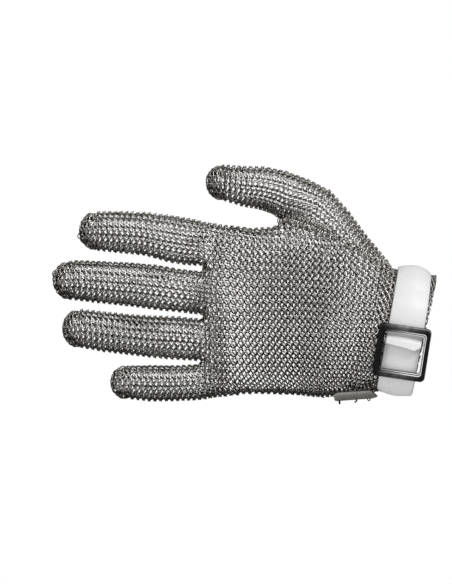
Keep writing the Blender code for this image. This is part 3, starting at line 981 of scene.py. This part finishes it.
def strap_section(crown):
    """The band's section, side and out: a shallow trough turned over, its edges rounded."""
    inner = [(s, crown * (1 - s * s)) for s in STRAP_SIDES]
    outer = [(s, rise + STRAP_EDGE + (STRAP_MIDDLE - STRAP_EDGE) * (1 - abs(s)))
             for s, rise in inner]
    rim = [(s, part * STRAP_EDGE) for s, part in STRAP_RIM]
    return inner + rim + outer[::-1] + [(-s, out) for s, out in reversed(rim)]


def reworked(thing, work):
    bm = bmesh.new()
    bm.from_mesh(thing.data)
    work(bm)
    bm.to_mesh(thing.data)
    bm.free()


def closed_mesh(name, points, faces):
    """A mesh with its faces turned outwards, smooth but for its sharp edges."""
    thing = mesh_from(name, points, faces)
    reworked(thing, lambda bm: bmesh.ops.recalc_face_normals(bm, faces=bm.faces))
    thing.data.shade_smooth()
    thing.data.set_sharp_from_angle(angle=SHARP)
    return thing


def loft_faces(rings, count, joined):
    """A skin over rings of count points each; joined closes it back on itself."""
    faces = []
    for k in range(rings if joined else rings - 1):
        a, b = k * count, (k + 1) % rings * count
        faces += [(a + i, a + (i + 1) % count, b + (i + 1) % count, b + i) for i in range(count)]
    if not joined:
        faces += [tuple(range(count)), tuple(range((rings - 1) * count, rings * count))]
    return faces


def build_strap():
    up, arm = leaning(STRAP_LEAN)
    points, sides, angles = [], [], []
    count = len(strap_section(0))
    for step in range(STRAP_STEPS + 1):
        turned = (360 + OVERLAP) * (step / STRAP_STEPS) ** STRAP_STEP_GROWTH
        for i, (side, _) in enumerate(strap_section(0)):
            angle = turned - at(side, END_POINT) * (1 - smoothstep(turned / END_POINT_TURN))
            thumbwards = max(cos(radians(FREE_END + angle)), 0) ** 2
            section = strap_section(STRAP_CROWN + STRAP_CROWN_THUMB * thumbwards)
            out = section[i][1] + strap_lift(max(angle, 0))
            across, deep = strap_point(radians(FREE_END + angle), out)
            drawn = thumbwards * max(side, 0) ** 2
            across -= STRAP_ARM_DRAW * drawn
            wide = STRAP_HALF_WIDTH * (1 - STRAP_NARROWS * drawn)
            points.append((STRAP_CENTRE + arm * side * wide + up * across - BACKWARDS * deep) * MM)
            sides.append(side)
            angles.append(angle)
    faces = loft_faces(STRAP_STEPS + 1, count, False)
    return note(closed_mesh("strap", points, faces), side=sides, run=angles)


STRAP_WHITE = (0.73, 0.73, 0.735)
STRAP_SHADE_AND_MARKS = (0.56, 0.56, 0.565)
STRAP_EDGE_SHADOW = (0.12, 0.12, 0.12)
RELIEF_DEPTH = 0.1 * MM


def drawn_along(tree, a, b):
    """A place for a pattern that follows two numbers."""
    return output(tree, "ShaderNodeCombineXYZ", X=a, Y=b)


def relief(tree, strength, height):
    return output(tree, "ShaderNodeBump", Strength=strength, Distance=RELIEF_DEPTH, Height=height)


def strap_finish():
    made, tree, shader = finish_of("strap_plastic", Metallic=0)
    side, run, place = noted(tree, "side"), noted(tree, "run"), own_place(tree)
    cloud, grain = noise(tree, place, 55, 4), noise(tree, place, 1800, 2)
    scratch = noise(tree, drawn_along(tree, run * 0.04, side * 30), 3, 6, 0.7)
    # Painted shade: the band is darker towards both edges where its crown turns away, mixed with
    # real clouding and scratches.
    rim = side.size() ** 6
    edge_shade_and_marks = (rim * 0.45 + (cloud - 0.5) * 0.5 + (scratch - 0.55) * 0.9).clamped()
    before_edge_shadow = mixed(tree, edge_shade_and_marks, STRAP_WHITE, STRAP_SHADE_AND_MARKS)
    # Painted shadow: a dark line along the arm-side edge, for the shadow between strap and hem.
    edge_shadow = ((side - 0.955) * 28).clamped()
    fill(tree, shader, Base_Color=mixed(tree, edge_shadow, before_edge_shadow, STRAP_EDGE_SHADOW),
         Roughness=0.36 + scratch * 0.2 + cloud * 0.1,
         Normal=relief(tree, 0.12, grain + scratch * 0.6))
    return made


strap = build_strap()
strap.data.materials.append(strap_finish())
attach(strap, "root")
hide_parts("wrist_strap")

# ---- the buckle ------------------------------------------
# A square frame stamped from steel plate and blackened, its inner lip painted bright, partly as
# bare steel and partly as a highlight. Under its top bar sits a flat middle bar, bent at its ends
# and welded in, that the strap's end rides.

BUCKLE_SEAT = (-13.05, -25.2, -9.05), radians(8.6), radians(16)  # centre, lean and pitch
BUCKLE_OUTER, BUCKLE_INNER = (27.4, 28.6), (20.7, 20.3)
BUCKLE_CORNERS = (2.6, 1.2)  # radii of the outer and the inner outline's
CORNER_STEPS = 9
BUCKLE_PROFILE = (
    # part of the way from the outer to the inner outline, height in mm, and how bright it is
    # painted, as bare steel and as a highlight
    (0, 0.05, 0), (0, 1.75, 0.1), (0.025, 2, 0.45), (0.09, 2.13, 0.25), (0.2, 2.2, 0),
    (0.45, 2.24, 0), (0.66, 2.2, 0), (0.67, 2.19, 1), (0.78, 2.13, 1), (0.79, 2.02, 0),
    (0.80, 1.75, 0), (0.88, 1.75, 0), (0.89, 1.98, 0.3), (0.90, 2.04, 1), (0.99, 2, 1),
    (1, 1.85, 0.6), (1, 1.6, 0), (1, 0.05, 0), (0.98, 0, 0), (0.02, 0, 0),
)
BAR_PLACE, BAR_HALF_WIDTH = 5.2, 0.8  # up from the frame's middle
BAR_DEPTHS = (0.5, 1.3)  # of its two faces, under the frame
BAR_LEG = (10.5, 11.9)  # across, where its two legs run up into the frame
BAR_SUNK = 0.66  # into the frame
BAR_BEVEL = 0.22 * MM
# How bright the middle bar is painted, as bare steel and as a highlight.
BAR_WEAR_AND_HIGHLIGHT = 0.6


def rounded_rectangle(size, corner):
    outline = []
    for quarter in range(4):
        turn = 0.5 * pi * quarter
        x, z = np.sign(cos(turn + 0.25 * pi)), np.sign(sin(turn + 0.25 * pi))
        for angle in turn + 0.5 * pi * np.linspace(0, 1, CORNER_STEPS + 1):
            outline.append((x * (0.5 * size[0] - corner) + corner * cos(angle),
                            z * (0.5 * size[1] - corner) + corner * sin(angle)))
    return np.array(outline)


def seated(name, points, faces, centre, lean, pitch):
    """A closed mesh drawn flat in mm, turned and moved to its place."""
    turn = np.array(Matrix.Rotation(lean, 3, "Y") @ Matrix.Rotation(pitch, 3, "X"))
    return closed_mesh(name, (np.array(points) @ turn.T + centre) * MM, faces)


def joined(name, parts):
    """Several meshes made into one, with the numbers they carry."""
    bm = bmesh.new()
    for part in parts:
        bm.from_mesh(part.data)
    parts[0].data = bpy.data.meshes.new(name)
    bm.to_mesh(parts[0].data)
    bm.free()
    for part in parts[1:]:
        bpy.data.objects.remove(part)
    parts[0].name = name
    return parts[0]


def lip_wear_and_highlight(x, z):
    """How bright the inner lip is painted, as bare steel and as a highlight: along the bars and in
    the arm-side corners.
    """
    bars = smoothstep((abs(z) - 7.5) / 2) * smoothstep((x + 10.5) / 3)
    corners = smoothstep((x - 6) / 3) * smoothstep((abs(z) - 6) / 3)
    return 0.12 + 0.88 * max(bars, corners)


def build_frame():
    outer = rounded_rectangle(BUCKLE_OUTER, BUCKLE_CORNERS[0])
    inner = rounded_rectangle(BUCKLE_INNER, BUCKLE_CORNERS[1])
    points, worn = [], []
    for part, height, bright in BUCKLE_PROFILE:
        for x, z in outer + (inner - outer) * part:
            points.append((x, -height, z))
            worn.append(bright * lip_wear_and_highlight(x, z))
    made = seated("frame", points, loft_faces(len(BUCKLE_PROFILE), len(outer), True), *BUCKLE_SEAT)
    return note(made, worn=worn, across=[x for x, _, _ in points], up=[z for _, _, z in points])


def build_middle_bar():
    near, far = BAR_DEPTHS
    inside, outside = BAR_LEG
    outline = [(-outside, -BAR_SUNK), (-inside, -BAR_SUNK), (-inside, near), (inside, near),
               (inside, -BAR_SUNK), (outside, -BAR_SUNK), (outside, far), (-outside, far)]
    points = [(x, y, BAR_PLACE + z) for z in (-BAR_HALF_WIDTH, BAR_HALF_WIDTH) for x, y in outline]
    bar = seated("middle_bar", points, loft_faces(2, len(outline), False), *BUCKLE_SEAT)
    reworked(bar, lambda bm: bmesh.ops.bevel(bm, geom=bm.edges, offset=BAR_BEVEL, segments=2,
                                             affect="EDGES", profile=0.5))
    return note(bar, worn=BAR_WEAR_AND_HIGHLIGHT, across=0, up=BAR_PLACE)


BLACKING = (0.045, 0.045, 0.048)
BLACKING_STREAKS_AND_SHEEN = (0.52, 0.52, 0.525)
BUCKLE_BARE_HIGHLIGHT = (0.95, 0.94, 0.92)


def buckle_finish():
    made, tree, shader = finish_of("blackened_steel")
    worn, across, up = noted(tree, "worn"), noted(tree, "across"), noted(tree, "up")
    lines = noise(tree, drawn_along(tree, across * 0.12, up * 4), 1.6, 7, 0.75)
    cloud = noise(tree, own_place(tree), 260, 5)
    # Painted reflection: the top and bottom bars are lighter towards their middle, laid over their
    # real brushed streaks.
    on_bars = ((up.size() - 11.2) * 1.6).clamped()
    middle = (1.15 - (across / 10).size()).clamped()
    painted_light_and_polish = (on_bars * middle * ((lines - 0.36) * 3.6 + (cloud - 0.5) * 1.2)).clamped()
    # Painted highlight and bare steel: the inner lip and the middle bar are painted near white
    # where light catches them.
    bare_and_highlight = ((worn + (cloud - 0.5) * 0.1 - 0.2) * 1.8).clamped()
    dark = mixed(tree, painted_light_and_polish, BLACKING, BLACKING_STREAKS_AND_SHEEN)
    fill(tree, shader, Base_Color=mixed(tree, bare_and_highlight, dark, BUCKLE_BARE_HIGHLIGHT),
         Roughness=0.34 + cloud * 0.16 + bare_and_highlight * 0.08, Metallic=0.9 - bare_and_highlight * 0.6,
         Normal=relief(tree, 0.2, lines + cloud * 0.5))
    return made


buckle = joined("buckle", [build_frame(), build_middle_bar()])
buckle.data.materials.append(buckle_finish())
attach(buckle, "root")
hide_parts("buckle_frame")

# ---- the edge plate --------------------------------------
# A strip of bare steel sheet pressed to a shallow curve, set on the mail at the little-finger
# edge of the cuff. A dark wire runs down its pointed end, and three wire claws hold its rings.

PLATE_LENGTH, PLATE_HALF, PLATE_NOSE = 19.4, 2.4, 3
PLATE_THICK, PLATE_BOW = 0.7, 0.55
PLATE_SEAT = (-38.4, -8.2, -31.9), radians(-4.2), radians(28)
PLATE_TOP = np.array((
    # mm along it from where its nose starts, and the height of its upper edge there
    (-19.4, 0.9), (-19, 1.8), (-18.2, 2.25), (-17, 2.4), (0, 2.4), (2.9, -1.25), (3, -1.3),
))
PLATE_FOOT = np.array((
    # the same for its lower edge
    (-19.4, -1.2), (-19.1, -2), (-18.3, -2.35), (-17, -2.4), (0.4, -2.4), (2.9, -1.45),
    (3, -1.4),
))
PLATE_STEPS = 36
PLATE_ROWS = 11
CLAWS = (
    # the points of each claw's path: x from where the nose starts, y inwards and z up, in mm
    ((-16.8, -0.45, -1.7), (-16.8, -0.75, -2.6), (-16.75, -0.6, -3.4), (-16.7, -0.3, -4)),
    ((-7.9, -0.45, -1.9), (-7.8, -0.75, -2.7), (-8.2, -0.65, -3.3), (-8.9, -0.4, -3.75)),
    ((-2.1, -0.5, -2.1), (-2.1, -0.75, -2.8), (-1.6, -0.7, -3.35), (-1, -0.6, -3.2),
     (-0.9, -0.6, -2.6), (-1, -0.5, -2.1)),
)
CLAW_RADII = (0.5, 0.42, 0.28)
NOSE_WIRE = ((-1, -0.5, 2.9), (0.2, -0.65, 2.45), (1.7, -0.6, 0.55), (3.1, -0.35, -1.2))
NOSE_WIRE_RADIUS = 0.26
WIRE_SIDES = 8  # round it
WIRE_STEPS_EACH = 5  # for each given point of a wire's path


def on_plate(name, points, faces, dark, rim):
    """A closed mesh drawn from the start of the nose, set in the plate's place."""
    shifted = np.array(points) + ARMWARDS * 0.5 * PLATE_LENGTH
    return note(seated(name, shifted, faces, *PLATE_SEAT), dark=dark, rim=rim)


def bent_wire(name, path, radius):
    """A closed wire along a smooth path through the given points, in mm."""
    count = len(path)
    where = np.linspace(0, count - 1, WIRE_STEPS_EACH * count)
    line = evened(on_line(where, range(count), np.array(path)))
    points = []
    for here, way in zip(line, np.gradient(line, axis=0)):
        first = unit(np.cross(way, BACKWARDS))
        second = np.cross(way, first) / norm(way)
        points += [here + radius * (first * cos(turn) + second * sin(turn))
                   for turn in 2 * pi * np.arange(WIRE_SIDES) / WIRE_SIDES]
    return on_plate(name, points, loft_faces(len(line), WIRE_SIDES, False), 1, 0)


def build_plate():
    places = np.union1d(np.linspace(-PLATE_LENGTH, PLATE_NOSE, PLATE_STEPS),
                        np.concatenate((PLATE_TOP[:, 0], PLATE_FOOT[:, 0])))
    points = []
    for x in places:
        heights = np.linspace(at(x, PLATE_FOOT), at(x, PLATE_TOP), PLATE_ROWS)
        for half, column in ((-0.5, heights), (0.5, heights[::-1])):
            points += [(x, half * PLATE_THICK - PLATE_BOW * (1 - (z / PLATE_HALF) ** 2), z)
                       for z in column]
    rims = np.tile(np.abs(np.linspace(-1, 1, PLATE_ROWS)), 2 * len(places))
    faces = loft_faces(len(places), 2 * PLATE_ROWS, False)
    return on_plate("sheet", points, faces, 0, rims)


PLATE_STEEL = (0.62, 0.60, 0.55)
PLATE_STAIN = (0.36, 0.34, 0.30)
PLATE_WIRE = (0.07, 0.066, 0.062)


def plate_finish():
    made, tree, shader = finish_of("sheet_steel", Metallic=0.85)
    place = own_place(tree)
    drawn = output(tree, "ShaderNodeMapping", Vector=place, Scale=(0.12, 1, 1))
    lines, stain = noise(tree, drawn, 2200, 4, 0.7), noise(tree, place, 240, 5)
    rim = noted(tree, "rim") ** 8
    dirt = ((stain - 0.42) * 2 + rim * 0.7 + (lines - 0.5) * 0.5).clamped()
    sheet = mixed(tree, dirt, PLATE_STEEL, PLATE_STAIN)
    fill(tree, shader, Base_Color=mixed(tree, noted(tree, "dark"), sheet, PLATE_WIRE),
         Roughness=0.4 + stain * 0.16, Normal=relief(tree, 0.2, lines))
    return made


plate = joined("plate", [build_plate(), bent_wire("nose_wire", NOSE_WIRE, NOSE_WIRE_RADIUS),
                         *(bent_wire("claw", *claw) for claw in zip(CLAWS, CLAW_RADII))])
plate.data.materials.append(plate_finish())
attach(plate, "root")
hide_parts("edge_plate")

# ---- studio ----------------------------------------------
# A pale floor well below the glove, soft light from above and in front, and a long lens.

FLOOR_Z = -0.25
FLOOR_HALF = 4  # its far edge stays just under the camera's view


def softbox(name, place, size, watts, steel_only=False):
    light = bpy.data.lights.new(name, "AREA")
    light.shape, light.size, light.energy = "SQUARE", size, watts
    lamp = in_scene(name, light)
    lamp.location = place
    aim = Vector((-0.1, 0, 0.02)) - Vector(place)
    lamp.rotation_euler = aim.to_track_quat("-Z", "Y").to_euler()
    lamp.visible_diffuse = not steel_only


floor = mesh_from("floor", [(x * FLOOR_HALF, y * FLOOR_HALF, FLOOR_Z)
                            for x, y in ((-1, -1), (1, -1), (1, 1), (-1, 1))], [(0, 1, 2, 3)])
pale, _, _ = finish_of("pale_floor", Base_Color=(0.9, 0.9, 0.9, 1), Roughness=1, Metallic=0,
                       Specular_IOR_Level=0)
floor.data.materials.append(pale)
floor.visible_glossy = False  # so that steel shows dark sides
softbox("key", (0.8, -1.3, 1.3), 1, 24)
softbox("fill", (-1.2, -1.5, 0.6), 0.7, 7)
softbox("low fill", (0.1, -2.2, -0.1), 1, 3)
softbox("rim", (0.3, 1.2, 1.2), 1, 4)
softbox("steel", (0.9, -1.6, 0.9), 1.2, 14, True)

SURROUND_PALE = (1, 1, 1)  # behind the glove
SURROUND_SOFT = (0.4, 0.4, 0.4)  # on dull surfaces
SURROUND_DARK = (0.05, 0.05, 0.05)  # mirrored in the steel
world = bpy.data.worlds.new("studio")
bpy.context.scene.world = world
world.use_nodes = True
world_tree = world.node_tree
paths = node(world_tree, "ShaderNodeLightPath")
dull_ray, camera_ray = (Value(world_tree, paths.outputs[kind])
                        for kind in ("Is Diffuse Ray", "Is Camera Ray"))
lit = mixed(world_tree, dull_ray, SURROUND_DARK, SURROUND_SOFT)
fill(world_tree, world_tree.nodes["Background"], Strength=1,
     Color=mixed(world_tree, camera_ray, lit, SURROUND_PALE))

CAMERA_AT = (-0.1042, -6, 0.0219)
VIEW_HEIGHT = 0.3037  # m that the camera sees at the glove, top to bottom
camera = in_scene("camera", bpy.data.cameras.new("camera"))
camera.location = CAMERA_AT
camera.rotation_euler = (0.5 * pi, 0, 0)
camera.data.lens = camera.data.sensor_width * -CAMERA_AT[1] / VIEW_HEIGHT
bpy.context.scene.camera = camera
bpy.context.scene.view_settings.view_transform = "Standard"
